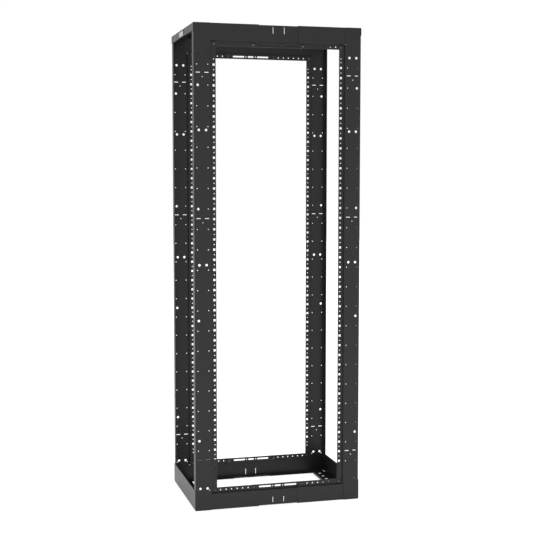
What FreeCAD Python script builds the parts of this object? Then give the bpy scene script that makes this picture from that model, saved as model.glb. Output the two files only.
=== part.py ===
import FreeCAD, Part
import math
import os

# Four post open frame equipment rack, 42 rack units high, folded from sheet steel.
# Millimetres. Origin on the floor under the middle of the rack, +Z up, front towards -Y.

os.makedirs("parts", exist_ok=True)
V = FreeCAD.Vector

# ---------------------------------------------------------------- overall sizes
HEIGHT = 2136.0
POST_SPAN = 760.0           # outside to outside of the posts, across
DEPTH = 516.0               # front face to rear face of the posts
RACK_UNIT = 44.45

# ---------------------------------------------------------------- sheet metal
POST_SHEET = 2.0
RAIL_SHEET = 1.9
BEND_RADIUS = 1.5           # inside radius of every fold
FIT_GAP = 0.3               # between pieces that pass each other without touching
FINE_HOLE = 8.0             # repeated round holes have six sides under this size, eight over it

# ---------------------------------------------------------------- posts
POST_FACE = 75.0
POST_RETURN = 35.0          # fold along the outer side of the post
FLANGE_SET_BACK = 9.8       # mounting flange behind the post's face
FLANGE_WIDTH = 24.2
FLANGE_HOLE_INSET = 8.9     # hole column from the flange's free edge
UNIT_HOLE = 9.5             # square, for cage nuts
LOWEST_UNIT_HOLE = 180.5    # above the floor
TOP_MARGIN = 177.5          # least height left above the highest unit hole

FACE_COLUMN = 37.6          # middle of the post face's hole pattern, from the outer side
ACCESS_HOLE = 11.0
ACCESS_PITCH = 32.2
ACCESS_DROPS = (-44.1, 281.3, 866.7)    # pairs below the highest unit hole
ACCESS_FOOT_DROP = 81.0                 # the last pair, below the lowest unit hole
KEY_HOLE = 11.0
KEY_HOLE_COLUMN = 17.8      # from the outer side
KEY_HOLES_FROM_TOP = (3, 15)            # level with these unit holes, counted from the top
KEY_HOLES_FROM_FOOT = (4, 16)           # and these, counted from the floor
STRAP_SLOT_LENGTH = 19.0
STRAP_SLOT_WIDTH = 3.2
STRAP_SLOT_PITCH = 37.7
STRAP_SLOT_DROPS = (34.7, 663.5)        # pairs below the highest unit hole
STRAP_SLOT_FOOT_RISE = 47.7             # the last pair, above the lowest unit hole

# ---------------------------------------------------------------- front and rear rails
RAIL_FACE = 75.0            # height of the rail's face
RAIL_FLANGE = 22.5
RAIL_LEDGE = 35.0           # flat fold along the floor or the top
CENTRE_HALF = 125.0         # half length of the centre section
SPLICE_LAP = 35.5           # how far the end sections lap the centre section
SPLICE_BOLT_INSET = 12.2    # from the centre section's end
END_SECTION_INSET = 6.0     # outer end of the end sections, from the posts' outer side
RAIL_ROW = 86.5             # hole row in the rail flange, from the floor or the top
BOLT_HOLE = 6.6             # square, for the necks of carriage bolts
RAIL_HOLE = 6.4
RAIL_HOLE_PITCH = 25.4
CABLE_SLOT_WIDTH = 7.5
CABLE_SLOT_LONG = 57.0
CABLE_SLOT_LONG_AT = 59.5
CABLE_SLOT_SHORT = 28.6
TIE_SLOT_LENGTH = 28.0
TIE_SLOT_WIDTH = 2.8
TIE_SLOT_AT = 25.4
TIE_SLOT_HEIGHT = 24.0

# ---------------------------------------------------------------- side rails
SIDE_RAIL_BOTTOM = 89.0
SIDE_RAIL_TOP = 34.0
SIDE_LEDGE = 71.0
SIDE_LIP = 11.5             # stiffening fold along the ledge's free edge
SIDE_END_INSET = 1.5
ANCHOR_HOLE = 16.0
ANCHOR_COLUMN = 36.2        # from the posts' outer side
ANCHOR_PITCH = 50.8


# ---------------------------------------------------------------- sheet metal tools
def rounded_face(points, radii):
    """Closed outline with each corner rounded to its radius, as a face."""
    enters, mids, leaves = [], [], []
    count = len(points)
    for i, point in enumerate(points):
        back = points[i - 1].sub(point).normalize()
        ahead = points[(i + 1) % count].sub(point).normalize()
        half = back.getAngle(ahead) / 2.0
        cut = radii[i] / math.tan(half)
        bisector = back.add(ahead).normalize()
        enters.append(point.add(back * cut))
        leaves.append(point.add(ahead * cut))
        mids.append(point.add(bisector * (radii[i] / math.sin(half) - radii[i])))
    edges = []
    for i in range(count):
        edges.append(Part.makeLine(leaves[i - 1], enters[i]))
        if radii[i] > 0:
            edges.append(Part.Arc(enters[i], mids[i], leaves[i]).toShape())
    return Part.Face(Part.Wire(edges))


def folded_section(path, thickness, up):
    """Section of a folded sheet: path is one surface, the sheet lies to its left."""
    normals = []
    for start, end in zip(path, path[1:]):
        normals.append(up.cross(end.sub(start)).normalize())
    near_radii, far, far_radii = [0.0], [path[0].add(normals[0] * thickness)], [0.0]
    for i in range(1, len(path) - 1):
        before, after = normals[i - 1], normals[i]
        mitre = before.add(after) * (thickness / (1.0 + before.dot(after)))
        far.append(path[i].add(mitre))
        turns_left = up.dot(before.cross(after)) > 0
        inside, outside = BEND_RADIUS, BEND_RADIUS + thickness
        near_radii.append(outside if turns_left else inside)
        far_radii.append(inside if turns_left else outside)
    near_radii.append(0.0)
    far.append(path[-1].add(normals[-1] * thickness))
    far_radii.append(0.0)
    return rounded_face(path + far[::-1], near_radii + far_radii[::-1])


def box(x0, x1, y0, y1, z0, z1):
    return Part.makeBox(x1 - x0, y1 - y0, z1 - z0, V(x0, y0, z0))


def prism(centre, axis, size, sides, length):
    """Cutter with flat sides that touch a circle of the given size, starting at centre."""
    radius = size / 2.0 / math.cos(math.pi / sides)
    across = V(1, 0, 0)
    rise = axis.cross(across)
    corners = []
    for i in range(sides):
        angle = (2 * i + 1) * math.pi / sides
        reach = across * (radius * math.cos(angle)) + rise * (radius * math.sin(angle))
        corners.append(centre.add(reach))
    outline = Part.makePolygon(corners + corners[:1])
    return Part.Face(outline).extrude(axis * length)


def round_hole(centre, axis, size, length):
    """Repeated round hole, with few sides."""
    sides = 6 if size < FINE_HOLE else 8
    return prism(centre, axis, size, sides, length)


def round_hole_y(x, z, size, y0, y1):
    return round_hole(V(x, y0, z), V(0, 1, 0), size, y1 - y0)


def square_hole_y(x, z, size, y0, y1):
    return prism(V(x, y0, z), V(0, 1, 0), size, 4, y1 - y0)


def slot_y(x, z, along_x, along_z, y0, y1):
    return box(x - along_x / 2.0, x + along_x / 2.0, y0, y1, z - along_z / 2.0, z + along_z / 2.0)


# ---------------------------------------------------------------- post, front left corner
# Built with x from the outer side inwards and y from the face backwards.
FLANGE_EDGE = POST_FACE + FLANGE_WIDTH
FLANGE_COLUMN = FLANGE_EDGE - FLANGE_HOLE_INSET
FLANGE_BACK = FLANGE_SET_BACK + POST_SHEET
POST_CORNER = POST_FACE - POST_SHEET - BEND_RADIUS     # end of the flat face, next to the step
UNIT_HOLES = 1 + int((HEIGHT - LOWEST_UNIT_HOLE - TOP_MARGIN) / RACK_UNIT + 0.01)


def unit_hole_height(number):
    """Height of a flange hole, counted from 1 at the floor."""
    return LOWEST_UNIT_HOLE + (number - 1) * RACK_UNIT


HIGHEST_UNIT_HOLE = unit_hole_height(UNIT_HOLES)


def face_heights(drops, foot):
    """Heights on the post's face: some hang from the top of the pattern, one stands at its foot."""
    return [HIGHEST_UNIT_HOLE - drop for drop in drops] + [LOWEST_UNIT_HOLE + foot]


def make_post():
    path = [
        V(0, POST_RETURN, 0),
        V(0, 0, 0),
        V(POST_FACE, 0, 0),
        V(POST_FACE, FLANGE_SET_BACK, 0),
        V(FLANGE_EDGE, FLANGE_SET_BACK, 0),
    ]
    post = folded_section(path, POST_SHEET, V(0, 0, 1)).extrude(V(0, 0, HEIGHT))

    # The rails' faces fill the corners, so the fold and the flange stop short of them.
    cutters = []
    for low, high in ((-1, RAIL_FACE), (HEIGHT - RAIL_FACE, HEIGHT + 1)):
        cutters.append(box(POST_CORNER, FLANGE_EDGE + 1, -1, FLANGE_BACK + 1, low, high))

    behind = FLANGE_SET_BACK - 1
    before = FLANGE_BACK + 1
    for number in range(1, UNIT_HOLES + 1):
        height = unit_hole_height(number)
        cutters.append(square_hole_y(FLANGE_COLUMN, height, UNIT_HOLE, behind, before))
    for height in (RAIL_ROW, HEIGHT - RAIL_ROW):
        cutters.append(square_hole_y(FLANGE_COLUMN, height, BOLT_HOLE, behind, before))

    front = -1
    back = POST_SHEET + 1
    for height in face_heights(ACCESS_DROPS, -ACCESS_FOOT_DROP):
        for side in (-1, 1):
            x = FACE_COLUMN + side * ACCESS_PITCH / 2.0
            cutters.append(round_hole_y(x, height, ACCESS_HOLE, front, back))
    key_numbers = [UNIT_HOLES + 1 - number for number in KEY_HOLES_FROM_TOP]
    for number in key_numbers + list(KEY_HOLES_FROM_FOOT):
        height = unit_hole_height(number)
        cutters.append(round_hole_y(KEY_HOLE_COLUMN, height, KEY_HOLE, front, back))
    for height in face_heights(STRAP_SLOT_DROPS, STRAP_SLOT_FOOT_RISE):
        for side in (-1, 1):
            x = FACE_COLUMN + side * STRAP_SLOT_PITCH / 2.0
            cutters.append(slot_y(x, height, STRAP_SLOT_LENGTH, STRAP_SLOT_WIDTH, front, back))
    post = post.cut(cutters)
    post.translate(V(-POST_SPAN / 2.0, -DEPTH / 2.0, 0))
    return post


# ---------------------------------------------------------------- rails, bottom front
# The end sections nest behind the posts' sheet, the centre section inside the end sections.
def rail_blank(nest, start, end):
    """Rail section nested inwards by nest, extruded from start to end along X."""
    face = -DEPTH / 2.0 + POST_SHEET + nest
    flange = face + FLANGE_SET_BACK
    step = RAIL_FACE - nest
    path = [
        V(start, flange, RAIL_FACE + RAIL_FLANGE),
        V(start, flange, step),
        V(start, face, step),
        V(start, face, nest),
        V(start, -DEPTH / 2.0 + POST_SHEET + RAIL_LEDGE, nest),
    ]
    section = folded_section(path, RAIL_SHEET, V(1, 0, 0))
    return section.extrude(V(end - start, 0, 0))


RAIL_FRONT = -DEPTH / 2.0
RAIL_FLANGE_FRONT = RAIL_FRONT + POST_SHEET + FLANGE_SET_BACK - 1
RAIL_FLANGE_REAR = RAIL_FLANGE_FRONT + 2 * RAIL_SHEET + 2


SPLICE_BOLT_AT = CENTRE_HALF - SPLICE_BOLT_INSET
POST_BOLT_AT = POST_SPAN / 2.0 - FLANGE_COLUMN
RAIL_HOLES = int((POST_BOLT_AT - SPLICE_BOLT_AT) / RAIL_HOLE_PITCH - 0.5)


def row_bolt_hole(x):
    return square_hole_y(x, RAIL_ROW, BOLT_HOLE, RAIL_FLANGE_FRONT, RAIL_FLANGE_REAR)


def row_hole(x):
    return round_hole_y(x, RAIL_ROW, RAIL_HOLE, RAIL_FLANGE_FRONT, RAIL_FLANGE_REAR)


def row_slot(x, length):
    return slot_y(x, RAIL_ROW, length, CABLE_SLOT_WIDTH, RAIL_FLANGE_FRONT, RAIL_FLANGE_REAR)


def make_end_rail():
    """Left end section, bolted to the centre section and through the post's flange."""
    rail = rail_blank(0.0, END_SECTION_INSET - POST_SPAN / 2.0, SPLICE_LAP - CENTRE_HALF)
    cutters = [row_bolt_hole(-SPLICE_BOLT_AT), row_bolt_hole(-POST_BOLT_AT)]

    # Only its face and ledge run on behind the post's face; the step and the flange end beside it.
    outer = -POST_SPAN / 2.0
    face_top = RAIL_FACE - RAIL_SHEET - BEND_RADIUS
    flange_top = RAIL_FACE + RAIL_FLANGE + 1
    cutters.append(box(outer, outer + POST_CORNER, RAIL_FRONT, RAIL_FLANGE_REAR, face_top, flange_top))
    for i in range(1, RAIL_HOLES + 1):
        cutters.append(row_hole(-SPLICE_BOLT_AT - i * RAIL_HOLE_PITCH))
    return rail.cut(cutters)


def make_centre_rail():
    rail = rail_blank(RAIL_SHEET, -CENTRE_HALF, CENTRE_HALF)
    cutters = [row_slot(0, CABLE_SLOT_SHORT)]
    for side in (-1, 1):
        cutters.append(row_bolt_hole(side * SPLICE_BOLT_AT))
        cutters.append(row_slot(side * CABLE_SLOT_LONG_AT, CABLE_SLOT_LONG))
        cutters.append(slot_y(side * TIE_SLOT_AT, TIE_SLOT_HEIGHT, TIE_SLOT_WIDTH, TIE_SLOT_LENGTH,
                              RAIL_FRONT, RAIL_FLANGE_FRONT))
    return rail.cut(cutters)


# ---------------------------------------------------------------- side rails, bottom left
# The wall laps the outside of the posts, and the ledge fits between those of the end sections.
LEDGE_END = DEPTH / 2.0 - POST_SHEET - RAIL_LEDGE - FIT_GAP
ANCHOR_LAST = int((LEDGE_END - ANCHOR_HOLE) / ANCHOR_PITCH)     # holes to each side of the middle one


def make_side_rail(height, anchored):
    outer = -POST_SPAN / 2.0
    start = -DEPTH / 2.0 + SIDE_END_INSET
    path = [
        V(outer - RAIL_SHEET, start, height),
        V(outer - RAIL_SHEET, start, 0),
        V(outer + SIDE_LEDGE, start, 0),
        V(outer + SIDE_LEDGE, start, SIDE_LIP),
    ]
    section = folded_section(path, RAIL_SHEET, V(0, -1, 0))
    rail = section.extrude(V(0, DEPTH - 2 * SIDE_END_INSET, 0))

    cutters = []
    for low, high in ((-DEPTH / 2.0, -LEDGE_END), (LEDGE_END, DEPTH / 2.0)):
        cutters.append(box(outer, outer + SIDE_LEDGE + 1, low, high, -1, SIDE_LIP + 1))

    # The holes at the ends of the row take the floor anchors.
    if anchored:
        for i in range(-ANCHOR_LAST, ANCHOR_LAST + 1):
            centre = V(outer + ANCHOR_COLUMN, i * ANCHOR_PITCH, -1)
            if abs(i) == ANCHOR_LAST:
                cutters.append(Part.makeCylinder(ANCHOR_HOLE / 2.0, RAIL_SHEET + 2, centre))
            else:
                cutters.append(round_hole(centre, V(0, 0, 1), ANCHOR_HOLE, RAIL_SHEET + 2))
    return rail.cut(cutters)


# ---------------------------------------------------------------- place every piece
def across(shape):
    return shape.mirror(V(0, 0, 0), V(1, 0, 0))


def to_rear(shape):
    return shape.mirror(V(0, 0, 0), V(0, 1, 0))


def to_top(shape):
    return shape.mirror(V(0, 0, HEIGHT / 2.0), V(0, 0, 1))


nodes = {}

post = make_post()
nodes["post_front_left"] = post
nodes["post_front_right"] = across(post)
nodes["post_rear_left"] = to_rear(post)
nodes["post_rear_right"] = to_rear(across(post))

end_rail = make_end_rail()
sections = {"left": end_rail, "centre": make_centre_rail(), "right": across(end_rail)}
for section_name, section in sections.items():
    nodes["bottom_front_rail_" + section_name] = section
    nodes["bottom_rear_rail_" + section_name] = to_rear(section)
    nodes["top_front_rail_" + section_name] = to_top(section)
    nodes["top_rear_rail_" + section_name] = to_top(to_rear(section))

bottom_side = make_side_rail(SIDE_RAIL_BOTTOM, True)
top_side = to_top(make_side_rail(SIDE_RAIL_TOP, False))
nodes["bottom_side_rail_left"] = bottom_side
nodes["bottom_side_rail_right"] = across(bottom_side)
nodes["top_side_rail_left"] = top_side
nodes["top_side_rail_right"] = across(top_side)

for name, shape in nodes.items():
    shape.exportStep("parts/" + name + ".step")
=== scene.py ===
import math

import bmesh
import bpy
from mathutils import Matrix, Vector


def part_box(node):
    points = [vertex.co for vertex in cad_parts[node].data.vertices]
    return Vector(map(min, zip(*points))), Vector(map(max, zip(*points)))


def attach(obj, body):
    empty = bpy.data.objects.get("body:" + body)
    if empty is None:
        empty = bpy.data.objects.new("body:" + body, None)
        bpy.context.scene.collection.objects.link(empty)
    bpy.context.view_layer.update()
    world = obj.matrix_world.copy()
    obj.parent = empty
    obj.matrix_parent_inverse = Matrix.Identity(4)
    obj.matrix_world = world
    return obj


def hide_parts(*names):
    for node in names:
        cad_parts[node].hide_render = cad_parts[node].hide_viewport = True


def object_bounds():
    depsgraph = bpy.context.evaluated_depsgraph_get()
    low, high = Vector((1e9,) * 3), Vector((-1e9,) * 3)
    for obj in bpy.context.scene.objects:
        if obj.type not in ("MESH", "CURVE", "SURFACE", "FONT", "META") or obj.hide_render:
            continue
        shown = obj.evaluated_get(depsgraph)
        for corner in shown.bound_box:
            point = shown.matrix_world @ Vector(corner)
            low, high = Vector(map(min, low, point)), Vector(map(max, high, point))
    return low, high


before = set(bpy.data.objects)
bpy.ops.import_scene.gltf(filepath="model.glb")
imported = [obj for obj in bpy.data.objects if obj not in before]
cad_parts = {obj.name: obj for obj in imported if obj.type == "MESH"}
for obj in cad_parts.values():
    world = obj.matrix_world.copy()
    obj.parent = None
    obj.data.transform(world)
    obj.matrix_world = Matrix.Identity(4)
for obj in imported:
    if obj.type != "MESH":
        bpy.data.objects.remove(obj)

cad_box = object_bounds()
MM = 0.001

# ---------------------------------------------------------------- sizes, in millimetres
low, high = cad_box
HEIGHT = (high[2] - low[2]) / MM
DEPTH = (high[1] - low[1]) / MM
post_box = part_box("post_front_left")
SPAN = -2.0 * post_box[0][0] / MM

POST_SHEET = 2.0
RAIL_SHEET = 1.9
BEND = 1.5                  # inside radius of every fold
FIT_GAP = 0.3               # between ledges that meet
PAST = 1.0                  # how far a punch reaches past the sheet's edge
RACK_UNIT = 44.45
UNITS = 41
LOWEST = 180.5              # lowest unit hole, above the floor
HIGHEST = LOWEST + (UNITS - 1) * RACK_UNIT

# Posts: distances across are from the outer side.
POST_FACE = 75.0
POST_CORNER = POST_FACE - POST_SHEET - BEND
POST_RETURN = 35.0
SET_BACK = 9.8              # mounting flange behind the post's face
FLANGE_EDGE = 99.2
FLANGE_COLUMN = 90.3
UNIT_HOLE = 9.5
FLANGE_FINE_HOLE = 4.7
FLANGE_END_HOLES = (HIGHEST + 23.8, HIGHEST + 39.7, LOWEST - 27.0, LOWEST - 43.0)

FACE_COLUMN = 37.6          # middle of the face's hole pattern
ACCESS_HOLE = 11.0
ACCESS_SIDE = 16.1          # to each side of the pattern's middle
ACCESS_PAIRS = (HIGHEST + 44.1, HIGHEST - 281.3, HIGHEST - 866.7, LOWEST - 81.0)
KEY_HOLE = 11.0
KEY_COLUMN = 17.8
KEY_UNITS = (UNITS - 3, UNITS - 15, UNITS - 26, UNITS - 38)
STRAP_SLOT_LENGTH = 19.0
STRAP_SLOT_WIDTH = 3.2
STRAP_SIDE = 18.85
STRAP_PAIRS = (HIGHEST - 34.7, HIGHEST - 663.5, LOWEST + 47.7)
STRAP_HOLE_DROP = 18.4      # small hole below each pair of strap slots
FACE_FINE_HOLE = 4.4
FINE_SIDE = 24.4
LAST_FINE_PAIR = HIGHEST - 1867.0

# Front and rear rails: heights are from the floor, or from the top.
RAIL_FACE = 75.0
RAIL_FLANGE = 22.5
RAIL_LEDGE = 35.0
RAIL_ROW = 86.5             # hole row in the flange
RAIL_PUNCH = 6.0            # depth of the row's punches
FLANGE_Y = -DEPTH / 2 + POST_SHEET + SET_BACK + RAIL_SHEET
CENTRE_HALF = 125.0
SPLICE_LAP = 35.5
END_INSET = 6.0
SPLICE_BOLT = 112.8
POST_BOLT = SPAN / 2 - FLANGE_COLUMN
BOLT_HOLE = 6.6
ROW_HOLE = 5.8
ROW_HOLES = 6
ROW_PITCH = 25.4
CABLE_SLOT_WIDTH = 7.5
CABLE_SLOT_SHORT = 28.6
CABLE_SLOT_LONG = 57.0
CABLE_SLOT_LONG_AT = 59.5
CABLE_HOLE = 5.5
CABLE_HOLE_AT = 23.5
TIE_SLOT_LENGTH = 28.0
TIE_SLOT_WIDTH = 2.5
TIE_SLOT_AT = 25.4
TIE_SLOT_HEIGHT = 24.0
LEDGE_HOLE = 9.0
LEDGE_HOLES = 6             # to each side
LEDGE_HOLE_FIRST = 26.9
LEDGE_HOLE_PITCH = 12.7
LEDGE_HOLE_BACK = 22.0      # behind the front face

# Side rails.
SIDE_WALL_BOTTOM = 89.0
SIDE_WALL_TOP = 34.0
SIDE_LEDGE = 71.0
SIDE_LIP = 11.5
SIDE_INSET = 1.5            # of the walls' ends, from the posts' faces
ANCHOR_HOLE = 16.0
ANCHOR_HOLES = 9
ANCHOR_COLUMN = 36.2
ANCHOR_PITCH = 50.8

# Label plate, in a seat pressed into the wall. Depths are from the wall's outer face.
LABEL_FRONT = -57.0
LABEL_BACK = 68.0
LABEL_DROP = 18.5           # middle of the plate, below the top
LABEL_HEIGHT = 25.0
LABEL_SEAT = 0.9
LABEL_GAP = 0.2
LABEL_ROUNDING = 0.1
FRAME_DEPTH = 0.3
PANEL_DEPTH = 0.1
PANEL_BACK_DEPTH = 0.6
# The panel starts this far behind the plate's front end. The matt black band left there is painted shade,
# standing in for the shadow beside the plate.
PAINTED_SHADE_BAND = 22.0
PANEL_MARGIN = 2.0

# Fasteners: the outline of a bolt's head, and the turned steps of a nut with its bolt end.
HEAD_OUTLINE = ((0, -4.2), (2.1, -3.9), (3.9, -3.1), (5.5, -2.0), (6.6, -0.8), (7.0, 0.0))
WASHER = {"radius": 7.0, "reach": 1.2, "segments": 24, "start": 0.0}
HEXAGON = {"radius": 5.77, "reach": 4.6, "segments": 6, "start": 1.2}
BOLT_END = {"radius": 3.0, "reach": 3.0, "segments": 16, "start": 5.8}

# Camera, in metres and radians.
CAMERA_PLACE = (-1.33288, -4.99401, 1.47015)
CAMERA_YAW = 0.263295
CAMERA_PITCH = -0.079306

WHITE = "#FFFFFF"


# ---------------------------------------------------------------- shaping tools
def new_piece(name, bm):
    """A finished bmesh as an object at the origin, in metres."""
    bmesh.ops.scale(bm, vec=(MM, MM, MM), verts=bm.verts)
    mesh = bpy.data.meshes.new(name)
    bm.to_mesh(mesh)
    bm.free()
    piece = bpy.data.objects.new(name, mesh)
    bpy.context.collection.objects.link(piece)
    return piece


def fold_sheet(path, radius, sheet, start, reach):
    """Folded sheet: path is its outer line, in the plane at start, and reach is its length as a vector.

    The path runs so that the sheet lies on its left, seen against reach."""
    bm = bmesh.new()
    verts = [bm.verts.new(Vector(p) + Vector(start)) for p in path]
    edges = [bm.edges.new(pair) for pair in zip(verts, verts[1:])]
    grown = bmesh.ops.extrude_edge_only(bm, edges=edges)["geom"]
    moved = [g for g in grown if isinstance(g, bmesh.types.BMVert)]
    bmesh.ops.translate(bm, vec=reach, verts=moved)
    along = Vector(reach).normalized()
    for i in range(1, len(path) - 1):
        back = (Vector(path[i]) - Vector(path[i - 1])).normalized()
        ahead = (Vector(path[i + 1]) - Vector(path[i])).normalized()
        turns_left = along.dot(back.cross(ahead)) > 0
        bend = radius + sheet if turns_left else radius
        bm.edges.ensure_lookup_table()
        corner = Vector(path[i]) + Vector(start)
        edge = [e for e in bm.edges if all((v.co - corner).cross(along).length < 0.001 for v in e.verts)]
        bmesh.ops.bevel(bm, geom=edge, offset=bend, segments=6, profile=0.5, affect="EDGES", material=-1)
    bmesh.ops.recalc_face_normals(bm, faces=bm.faces)
    first = min(bm.faces, key=lambda f: (f.calc_center_median() - Vector(path[0]) - Vector(start)).length)
    span = Vector(path[1]) - Vector(path[0])
    inwards = along.cross(span)
    if first.normal.dot(inwards) > 0:
        bmesh.ops.reverse_faces(bm, faces=bm.faces)
    bmesh.ops.solidify(bm, geom=bm.faces, thickness=sheet)
    bmesh.ops.recalc_face_normals(bm, faces=bm.faces)
    return bm


def round_punch(bm, place, size, depth, facing="Y"):
    """Round cutter, centred on place."""
    turn = Matrix.Rotation(math.radians(90), 4, "X") if facing == "Y" else Matrix()
    bmesh.ops.create_cone(bm, cap_ends=True, segments=20, radius1=size / 2, radius2=size / 2,
                          depth=depth, matrix=Matrix.Translation(place) @ turn)


def square_punch(bm, place, width, height, depth):
    """Box cutter, centred on place, its depth along Y."""
    size = Matrix.Diagonal((width, depth, height, 1.0))
    bmesh.ops.create_cube(bm, size=1.0, matrix=Matrix.Translation(place) @ size)


def slot_punch(bm, place, length, width, depth, upright=False):
    """Round-ended cutter: a cylinder along Y whose halves are drawn apart."""
    # Half a facet of turn keeps every corner off the line where the halves part.
    turn = Matrix.Rotation(math.radians(7.5), 4, "Y") @ Matrix.Rotation(math.radians(90), 4, "X")
    made = bmesh.ops.create_cone(bm, cap_ends=True, segments=24, radius1=width / 2, radius2=width / 2,
                                 depth=depth, matrix=turn)
    axis = Vector((0, 0, 1)) if upright else Vector((1, 0, 0))
    reach = axis * ((length - width) / 2)
    ahead = [v for v in made["verts"] if v.co.dot(axis) > 0]
    behind = [v for v in made["verts"] if v.co.dot(axis) <= 0]
    bmesh.ops.translate(bm, vec=Vector(place) + reach, verts=ahead)
    bmesh.ops.translate(bm, vec=Vector(place) - reach, verts=behind)


def punch_out(piece, punches):
    """Cuts the punches out of the piece and smooths its folds."""
    cutter = new_piece("punches", punches)
    cut = piece.modifiers.new("punched", "BOOLEAN")
    cut.operation = "DIFFERENCE"
    cut.solver = "EXACT"
    cut.use_self = True
    cut.object = cutter
    graph = bpy.context.evaluated_depsgraph_get()
    mesh = bpy.data.meshes.new_from_object(piece.evaluated_get(graph))
    piece.modifiers.clear()
    old = piece.data
    piece.data = mesh
    bpy.data.meshes.remove(old)
    scrap = cutter.data
    bpy.data.objects.remove(cutter)
    bpy.data.meshes.remove(scrap)
    mesh.name = piece.name
    smooth_folds(mesh)


def smooth_folds(mesh):
    """Smooth shading inside folds and holes, with every flat panel kept flat."""
    bm = bmesh.new()
    bm.from_mesh(mesh)
    for face in bm.faces:
        face.smooth = True
    for edge in bm.edges:
        flat = any(max(abs(c) for c in f.normal) > 0.9999 for f in edge.link_faces)
        edge.smooth = not flat and edge.calc_face_angle(0) < math.radians(30)
    bm.to_mesh(mesh)
    bm.free()


def mirrored(piece, name, across=False, to_rear=False, to_top=False):
    """A copy of the piece, mirrored within the rack."""
    bm = bmesh.new()
    bm.from_mesh(piece.data)
    scale = Vector((-1 if across else 1, -1 if to_rear else 1, -1 if to_top else 1))
    bmesh.ops.scale(bm, vec=scale, verts=bm.verts)
    if to_top:
        bmesh.ops.translate(bm, vec=(0, 0, HEIGHT * MM), verts=bm.verts)
    if scale.x * scale.y * scale.z < 0:
        bmesh.ops.reverse_faces(bm, faces=bm.faces)
    mesh = bpy.data.meshes.new(name)
    bm.to_mesh(mesh)
    bm.free()
    copy = bpy.data.objects.new(name, mesh)
    bpy.context.collection.objects.link(copy)
    return copy


# ---------------------------------------------------------------- finishes
def linear(code):
    """sRGB hex to linear colour."""
    channels = [int(code[i:i + 2], 16) / 255 for i in (1, 3, 5)]
    return [c / 12.92 if c <= 0.04045 else ((c + 0.055) / 1.055) ** 2.4 for c in channels] + [1.0]


def add(tree, kind, settings=None, **links):
    """Adds a node with its settings, and links its named inputs to other sockets or values."""
    node = tree.nodes.new(kind)
    for key, value in (settings or {}).items():
        setattr(node, key, value)
    for key, value in links.items():
        socket = node.inputs[key.replace("_", " ")]
        if isinstance(value, bpy.types.NodeSocket):
            tree.links.new(value, socket)
        else:
            socket.default_value = value
    return node


def new_material(name):
    material = bpy.data.materials.new(name)
    material.use_nodes = True
    tree = material.node_tree
    tree.nodes.clear()
    return material, tree, tree.nodes.new("ShaderNodeOutputMaterial")


def powder_coated_steel():
    """Black polyester powder coat, sprayed and baked: satin, with a faint orange peel."""
    material, tree, output = new_material("black_powder_coated_steel")
    place = add(tree, "ShaderNodeTexCoord").outputs["Object"]
    # Orange peel is about 1 mm from crest to crest and only a few micrometres deep.
    peel = add(tree, "ShaderNodeTexNoise", Vector=place, Scale=1000.0, Detail=2.0)
    # The coat's thickness drifts over about 110 mm.
    cloud = add(tree, "ShaderNodeTexNoise", Vector=place, Scale=9.0, Detail=3.0)
    shade = add(tree, "ShaderNodeMix", {"data_type": "RGBA"}, Factor=cloud.outputs["Fac"])
    shade.inputs[6].default_value = linear("#1F2022")
    shade.inputs[7].default_value = linear("#232424")
    rough = add(tree, "ShaderNodeMapRange", Value=cloud.outputs["Fac"], To_Min=0.36, To_Max=0.44)
    bump = add(tree, "ShaderNodeBump", Strength=0.25, Distance=0.00002, Height=peel.outputs["Fac"])
    surface = add(tree, "ShaderNodeBsdfPrincipled", Base_Color=shade.outputs[2],
                  Roughness=rough.outputs["Result"], IOR=1.42, Normal=bump.outputs["Normal"])
    tree.links.new(surface.outputs["BSDF"], output.inputs["Surface"])
    return material


def black_zinc():
    """Zinc-plated steel with a black passivate: a dark metal sheen on bolts and nuts."""
    material, tree, output = new_material("black_zinc_plated_steel")
    place = add(tree, "ShaderNodeTexCoord").outputs["Object"]
    # The passivate clouds over about 4.5 mm.
    cloud = add(tree, "ShaderNodeTexNoise", Vector=place, Scale=220.0, Detail=3.0)
    rough = add(tree, "ShaderNodeMapRange", Value=cloud.outputs["Fac"], To_Min=0.28, To_Max=0.40)
    surface = add(tree, "ShaderNodeBsdfPrincipled", Base_Color=linear("#5E5F62"), Metallic=1.0,
                  Roughness=rough.outputs["Result"])
    tree.links.new(surface.outputs["BSDF"], output.inputs["Surface"])
    return material


def label_material(code, name, roughness, shine):
    """Even plastic film of the label plate, with a slight mottle in its sheen. On the frame it is matt
    black with little sheen, partly as painted shade.
    """
    material, tree, output = new_material(name)
    place = add(tree, "ShaderNodeTexCoord").outputs["Object"]
    # The mottle is about 2.5 mm across.
    mottle = add(tree, "ShaderNodeTexNoise", Vector=place, Scale=400.0, Detail=2.0)
    rough = add(tree, "ShaderNodeMapRange", Value=mottle.outputs["Fac"],
                To_Min=roughness - 0.05, To_Max=roughness + 0.05)
    surface = add(tree, "ShaderNodeBsdfPrincipled", Base_Color=linear(code),
                  Roughness=rough.outputs["Result"], IOR=1.5, Specular_IOR_Level=shine)
    tree.links.new(surface.outputs["BSDF"], output.inputs["Surface"])
    return material


def background_rays(tree):
    """1 on the rays that show the background: seen directly, mirrored or through glass."""
    rays = add(tree, "ShaderNodeLightPath").outputs
    mirrored_or_through = add(tree, "ShaderNodeMath", {"operation": "MAXIMUM"})
    tree.links.new(rays["Is Glossy Ray"], mirrored_or_through.inputs[0])
    tree.links.new(rays["Is Transmission Ray"], mirrored_or_through.inputs[1])
    any_of_them = add(tree, "ShaderNodeMath", {"operation": "MAXIMUM"})
    tree.links.new(rays["Is Camera Ray"], any_of_them.inputs[0])
    tree.links.new(mirrored_or_through.outputs[0], any_of_them.inputs[1])
    return any_of_them.outputs[0]


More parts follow.
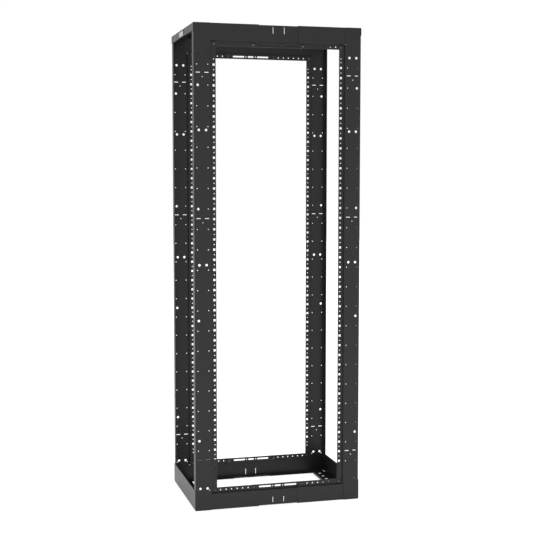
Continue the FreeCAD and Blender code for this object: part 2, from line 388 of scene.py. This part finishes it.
def studio_paper():
    """Pale seamless paper, as white as the backdrop where it is seen or mirrored. It keeps the shadow."""
    material, tree, output = new_material("pale_studio_paper")
    glow = add(tree, "ShaderNodeMath", {"operation": "MULTIPLY"})
    tree.links.new(background_rays(tree), glow.inputs[0])
    glow.inputs[1].default_value = 0.65
    surface = add(tree, "ShaderNodeBsdfPrincipled", Base_Color=linear("#F0F0F0"), Roughness=0.9,
                  Emission_Color=linear(WHITE), Emission_Strength=glow.outputs[0])
    tree.links.new(surface.outputs["BSDF"], output.inputs["Surface"])
    return material


powder = powder_coated_steel()
zinc = black_zinc()


def finish_piece(piece, material, *nodes):
    """Gives the piece its material and its place in the frame."""
    piece.data.materials.clear()
    piece.data.materials.append(material)
    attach(piece, "root")
    if nodes:
        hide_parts(*nodes)


# ---------------------------------------------------------------- posts
def make_post():
    """Front left post: return, face, step and mounting flange, folded from one strip and punched."""
    x0 = -SPAN / 2
    y0 = -DEPTH / 2
    path = [(0, POST_RETURN, 0), (0, 0, 0), (POST_FACE, 0, 0),
            (POST_FACE, SET_BACK, 0), (FLANGE_EDGE, SET_BACK, 0)]
    bm = fold_sheet(path, BEND, POST_SHEET, (x0, y0, 0), (0, 0, HEIGHT))
    post = new_piece("front_left_post", bm)
    punch = 2 * POST_SHEET
    cut = bmesh.new()

    # Room at both ends for the rails' faces, and for the fold where the rail's flange starts.
    notch = FLANGE_EDGE + PAST - POST_CORNER
    notch_end = RAIL_FACE + BEND
    for z in (notch_end / 2 - PAST, HEIGHT - notch_end / 2 + PAST):
        square_punch(cut, (x0 + POST_CORNER + notch / 2, y0 + 6, z), notch, notch_end + 2 * PAST, 16)

    # Mounting flange: a square hole each unit, a small one midway, and two small ones past each end.
    column = x0 + FLANGE_COLUMN
    flange_y = y0 + SET_BACK + POST_SHEET / 2
    for unit in range(UNITS):
        square_punch(cut, (column, flange_y, LOWEST + unit * RACK_UNIT), UNIT_HOLE, UNIT_HOLE, punch)
    for unit in range(UNITS - 1):
        round_punch(cut, (column, flange_y, LOWEST + (unit + 0.5) * RACK_UNIT), FLANGE_FINE_HOLE, punch)
    for z in FLANGE_END_HOLES:
        round_punch(cut, (column, flange_y, z), FLANGE_FINE_HOLE, punch)

    # Face: pairs of access holes, key holes, strap slots and two columns of small holes.
    face_y = y0 + POST_SHEET / 2
    middle = x0 + FACE_COLUMN
    for z in ACCESS_PAIRS:
        for side in (-1, 1):
            round_punch(cut, (middle + side * ACCESS_SIDE, face_y, z), ACCESS_HOLE, punch)
    for unit in KEY_UNITS:
        round_punch(cut, (x0 + KEY_COLUMN, face_y, LOWEST + unit * RACK_UNIT), KEY_HOLE, punch)
    for z in STRAP_PAIRS:
        for side in (-1, 1):
            place = (middle + side * STRAP_SIDE, face_y, z)
            slot_punch(cut, place, STRAP_SLOT_LENGTH, STRAP_SLOT_WIDTH, punch)
        round_punch(cut, (middle, face_y, z - STRAP_HOLE_DROP), FACE_FINE_HOLE, punch)
    # A key hole takes the place of the small hole beside it.
    for unit in range(0, UNITS, 2):
        for side in (-1, 1):
            if side > 0 or unit not in KEY_UNITS:
                place = (middle + side * FINE_SIDE, face_y, LOWEST + unit * RACK_UNIT)
                round_punch(cut, place, FACE_FINE_HOLE, punch)
    for side in (-1, 1):
        round_punch(cut, (middle + side * FINE_SIDE, face_y, LAST_FINE_PAIR), FACE_FINE_HOLE, punch)
    punch_out(post, cut)
    return post


# ---------------------------------------------------------------- front and rear rails
def rail_section(nest, start, end):
    """Rail folded to ledge, face, step and flange, nested inwards by nest."""
    face = -DEPTH / 2 + POST_SHEET + nest
    flange = face + SET_BACK
    step = RAIL_FACE - nest
    path = [(0, flange, RAIL_FACE + RAIL_FLANGE), (0, flange, step), (0, face, step), (0, face, nest),
            (0, -DEPTH / 2 + POST_SHEET + RAIL_LEDGE, nest)]
    return fold_sheet(path, BEND, RAIL_SHEET, (start, 0, 0), (end - start, 0, 0))


def make_end_rail():
    """Left end section of the bottom front rail."""
    section = rail_section(0.0, END_INSET - SPAN / 2, SPLICE_LAP - CENTRE_HALF)
    rail = new_piece("bottom_front_end_rail_left", section)
    cut = bmesh.new()
    # Its step and flange end beside the post's face.
    face_top = RAIL_FACE - RAIL_SHEET - BEND
    square_punch(cut, (-SPAN / 2 + POST_CORNER / 2, -DEPTH / 2 + 10, face_top + 20), POST_CORNER, 40, 20)
    for x in (-SPLICE_BOLT, -POST_BOLT):
        square_punch(cut, (x, FLANGE_Y, RAIL_ROW), BOLT_HOLE, BOLT_HOLE, RAIL_PUNCH)
    for i in range(1, ROW_HOLES + 1):
        round_punch(cut, (-SPLICE_BOLT - i * ROW_PITCH, FLANGE_Y, RAIL_ROW), ROW_HOLE, RAIL_PUNCH)
    punch_out(rail, cut)
    return rail


def make_centre_rail():
    """Centre section of the bottom front rail, with cable slots, tie slots and a row of ledge holes."""
    rail = new_piece("bottom_front_centre_rail", rail_section(RAIL_SHEET, -CENTRE_HALF, CENTRE_HALF))
    cut = bmesh.new()
    slot_punch(cut, (0, FLANGE_Y, RAIL_ROW), CABLE_SLOT_SHORT, CABLE_SLOT_WIDTH, RAIL_PUNCH)
    face_y = -DEPTH / 2 + POST_SHEET + RAIL_SHEET
    for side in (-1, 1):
        long_slot = (side * CABLE_SLOT_LONG_AT, FLANGE_Y, RAIL_ROW)
        slot_punch(cut, long_slot, CABLE_SLOT_LONG, CABLE_SLOT_WIDTH, RAIL_PUNCH)
        round_punch(cut, (side * CABLE_HOLE_AT, FLANGE_Y, RAIL_ROW), CABLE_HOLE, RAIL_PUNCH)
        square_punch(cut, (side * SPLICE_BOLT, FLANGE_Y, RAIL_ROW), BOLT_HOLE, BOLT_HOLE, RAIL_PUNCH)
        tie_slot = (side * TIE_SLOT_AT, face_y, TIE_SLOT_HEIGHT)
        slot_punch(cut, tie_slot, TIE_SLOT_LENGTH, TIE_SLOT_WIDTH, 8, upright=True)
        for i in range(LEDGE_HOLES):
            x = side * (LEDGE_HOLE_FIRST + LEDGE_HOLE_PITCH * i)
            round_punch(cut, (x, -DEPTH / 2 + LEDGE_HOLE_BACK, 3.0), LEDGE_HOLE, 6, facing="Z")
    punch_out(rail, cut)
    return rail


# ---------------------------------------------------------------- side rails
def make_side_rail(wall, name, anchored=False):
    """Left side rail: a wall outside the posts, and a lipped ledge between the front and rear ledges."""
    outer = -SPAN / 2
    start = -DEPTH / 2 + SIDE_INSET
    length = DEPTH - 2 * SIDE_INSET
    path = [(outer - RAIL_SHEET, 0, wall), (outer - RAIL_SHEET, 0, 0),
            (outer + SIDE_LEDGE, 0, 0), (outer + SIDE_LEDGE, 0, SIDE_LIP)]
    rail = new_piece(name, fold_sheet(path, BEND, RAIL_SHEET, (0, start + length, 0), (0, -length, 0)))
    cut = bmesh.new()
    # The ledge and its lip end short of the front and rear ledges.
    width = SIDE_LEDGE + PAST
    height = SIDE_LIP + 2.5
    depth = POST_SHEET + RAIL_LEDGE + FIT_GAP + PAST
    for end in (-1, 1):
        place = (outer + width / 2, end * (DEPTH / 2 + PAST - depth / 2), height / 2 - PAST)
        square_punch(cut, place, width, height, depth)
    if anchored:
        for i in range(ANCHOR_HOLES):
            y = (i - ANCHOR_HOLES // 2) * ANCHOR_PITCH
            round_punch(cut, (outer + ANCHOR_COLUMN, y, 1.0), ANCHOR_HOLE, 8, facing="Z")
    punch_out(rail, cut)
    return rail


def label_block(near, far, front, back, height):
    """Block in the left wall of the top, from near to far behind the wall's outer face."""
    wall = -SPAN / 2 - RAIL_SHEET
    bm = bmesh.new()
    place = (wall + (near + far) / 2, (front + back) / 2, HEIGHT - LABEL_DROP)
    square_punch(bm, place, far - near, height, back - front)
    return bm


def label_piece(name, near, far, front, back, height):
    """Label block with its edges rounded."""
    bm = label_block(near, far, front, back, height)
    bmesh.ops.bevel(bm, geom=bm.edges, offset=LABEL_ROUNDING, segments=2, profile=0.5,
                    affect="EDGES", material=-1)
    return new_piece(name, bm)


post = make_post()
end_rail = make_end_rail()
centre_rail = make_centre_rail()
bottom_side = make_side_rail(SIDE_WALL_BOTTOM, "bottom_side_rail_sheet_left", anchored=True)
top_side = make_side_rail(SIDE_WALL_TOP, "top_side_rail_blank")

finish_piece(post, powder, "post_front_left")
finish_piece(mirrored(post, "front_right_post", across=True), powder, "post_front_right")
finish_piece(mirrored(post, "rear_left_post", to_rear=True), powder, "post_rear_left")
finish_piece(mirrored(post, "rear_right_post", across=True, to_rear=True), powder, "post_rear_right")

for top in (False, True):
    for rear in (False, True):
        row = ("top" if top else "bottom") + ("_rear" if rear else "_front")
        places = {"left": (end_rail, False), "right": (end_rail, True), "centre": (centre_rail, False)}
        for side, (source, across) in places.items():
            piece = source
            if top or rear or across:
                name = row + "_rail_sheet_" + side
                piece = mirrored(source, name, across=across, to_rear=rear, to_top=top)
            finish_piece(piece, powder, row + "_rail_" + side)

finish_piece(bottom_side, powder, "bottom_side_rail_left")
bottom_right = mirrored(bottom_side, "bottom_side_rail_sheet_right", across=True)
finish_piece(bottom_right, powder, "bottom_side_rail_right")

top_right = mirrored(top_side, "top_side_rail_sheet_right", across=True, to_top=True)
finish_piece(top_right, powder, "top_side_rail_right")
labelled_side = mirrored(top_side, "top_side_rail_sheet_left", to_top=True)
punch_out(labelled_side, label_block(-PAST, LABEL_SEAT, LABEL_FRONT, LABEL_BACK, LABEL_HEIGHT))
finish_piece(labelled_side, powder, "top_side_rail_left")
bpy.data.objects.remove(top_side)

# The label plate is a matt black frame with a bare pale panel. The frame's wide band at the front end is
# painted shade, dark where a shadow falls beside the plate.
frame_and_shade = label_piece("label_frame_and_painted_shade", FRAME_DEPTH, LABEL_SEAT, LABEL_FRONT + LABEL_GAP,
                          LABEL_BACK - LABEL_GAP, LABEL_HEIGHT - 2 * LABEL_GAP)
panel = label_piece("blank_label_panel", PANEL_DEPTH, PANEL_BACK_DEPTH, LABEL_FRONT + PAINTED_SHADE_BAND,
                    LABEL_BACK - PANEL_MARGIN, LABEL_HEIGHT - 2 * PANEL_MARGIN)
# Matt black with little sheen, so that the frame's front band is dark as painted shade.
finish_piece(frame_and_shade, label_material("#101011", "matt_black_vinyl_and_painted_shade", 0.85, 0.1))
finish_piece(panel, label_material("#D2D3D4", "pale_grey_polyester_film", 0.45, 0.5))


# ---------------------------------------------------------------- fasteners
def bolt_head(bm, place):
    """Domed head of a carriage bolt, facing -Y: its outline spun round the bolt."""
    verts = [bm.verts.new(Vector(place) + Vector((r, y, 0))) for r, y in HEAD_OUTLINE]
    edges = [bm.edges.new(pair) for pair in zip(verts, verts[1:])]
    bmesh.ops.spin(bm, geom=verts + edges, cent=place, axis=(0, 1, 0), angle=math.tau, steps=24,
                   use_merge=True)


def flange_nut(bm, place):
    """Hexagon nut with its washer face towards -Y, and the end of the bolt in it."""
    turn = Matrix.Rotation(math.radians(90), 4, "X")
    for step in (WASHER, HEXAGON, BOLT_END):
        middle = Vector(place) + Vector((0, step["start"] + step["reach"] / 2, 0))
        bmesh.ops.create_cone(bm, cap_ends=True, segments=step["segments"], radius1=step["radius"],
                              radius2=step["radius"], depth=step["reach"],
                              matrix=Matrix.Translation(middle) @ turn)


post_flange = -DEPTH / 2 + SET_BACK
rail_flange = post_flange + POST_SHEET
bolts = bmesh.new()
nuts = bmesh.new()
for side in (-1, 1):
    bolt_head(bolts, (side * SPLICE_BOLT, rail_flange, RAIL_ROW))
    bolt_head(bolts, (side * POST_BOLT, post_flange, RAIL_ROW))
    flange_nut(nuts, (side * SPLICE_BOLT, rail_flange + 2 * RAIL_SHEET, RAIL_ROW))
    flange_nut(nuts, (side * POST_BOLT, rail_flange + RAIL_SHEET, RAIL_ROW))
for bm in (bolts, nuts):
    bmesh.ops.remove_doubles(bm, verts=bm.verts, dist=0.001)
    bmesh.ops.recalc_face_normals(bm, faces=bm.faces)
bottom_bolts = new_piece("bottom_front_carriage_bolts", bolts)
bottom_nuts = new_piece("bottom_front_flange_nuts", nuts)
for fasteners in (bottom_bolts, bottom_nuts):
    smooth_folds(fasteners.data)
    finish_piece(fasteners, zinc)
for source, kind in ((bottom_bolts, "carriage_bolts"), (bottom_nuts, "flange_nuts")):
    finish_piece(mirrored(source, "bottom_rear_" + kind, to_rear=True), zinc)
    finish_piece(mirrored(source, "top_front_" + kind, to_top=True), zinc)
    finish_piece(mirrored(source, "top_rear_" + kind, to_rear=True, to_top=True), zinc)


# ---------------------------------------------------------------- studio
floor_mesh = bmesh.new()
bmesh.ops.create_grid(floor_mesh, x_segments=1, y_segments=1, size=20000.0)
bmesh.ops.translate(floor_mesh, vec=(0, 0, -0.2), verts=floor_mesh.verts)
floor = new_piece("studio_floor", floor_mesh)
floor.data.materials.append(studio_paper())


def studio_sky():
    """White surround.

    Its light on surfaces is even. In mirrored rays it is white in front and behind, and greyer to the sides
    and overhead, which gives folds and bolt heads their shape."""
    world = bpy.data.worlds.new("studio")
    world.use_nodes = True
    tree = world.node_tree
    tree.nodes.clear()
    place = add(tree, "ShaderNodeTexCoord").outputs["Generated"]
    direction = add(tree, "ShaderNodeSeparateXYZ", Vector=place)
    depthwise = add(tree, "ShaderNodeMath", {"operation": "ABSOLUTE"})
    tree.links.new(direction.outputs["Y"], depthwise.inputs[0])
    shade = add(tree, "ShaderNodeMapRange", Value=depthwise.outputs[0], From_Min=0.7, From_Max=0.92,
                To_Min=0.4, To_Max=0.95)
    soft = add(tree, "ShaderNodeBackground", Color=linear(WHITE), Strength=0.8)
    in_mirrors = add(tree, "ShaderNodeBackground", Color=linear(WHITE), Strength=shade.outputs["Result"])
    plain = add(tree, "ShaderNodeBackground", Color=linear(WHITE), Strength=1.0)
    lit = add(tree, "ShaderNodeMixShader", Fac=background_rays(tree))
    tree.links.new(soft.outputs[0], lit.inputs[1])
    tree.links.new(in_mirrors.outputs[0], lit.inputs[2])
    camera_rays = add(tree, "ShaderNodeLightPath").outputs["Is Camera Ray"]
    seen = add(tree, "ShaderNodeMixShader", Fac=camera_rays)
    tree.links.new(lit.outputs[0], seen.inputs[1])
    tree.links.new(plain.outputs[0], seen.inputs[2])
    output = add(tree, "ShaderNodeOutputWorld")
    tree.links.new(seen.outputs[0], output.inputs["Surface"])
    return world


def aimed_camera():
    """Camera at its place, turned by its yaw and pitch."""
    forward = Vector((math.sin(CAMERA_YAW) * math.cos(CAMERA_PITCH),
                      math.cos(CAMERA_YAW) * math.cos(CAMERA_PITCH), math.sin(CAMERA_PITCH)))
    right = Vector((math.cos(CAMERA_YAW), -math.sin(CAMERA_YAW), 0.0))
    up = right.cross(forward)
    lens = bpy.data.cameras.new("camera")
    lens.sensor_width = 36.0
    lens.lens = 75.1315
    camera = bpy.data.objects.new("camera", lens)
    turn = Matrix((right, up, -forward)).transposed().to_4x4()
    camera.matrix_world = Matrix.Translation(CAMERA_PLACE) @ turn
    bpy.context.collection.objects.link(camera)
    return camera


bpy.context.scene.world = studio_sky()
bpy.context.scene.camera = aimed_camera()
bpy.context.scene.view_settings.view_transform = "Standard"
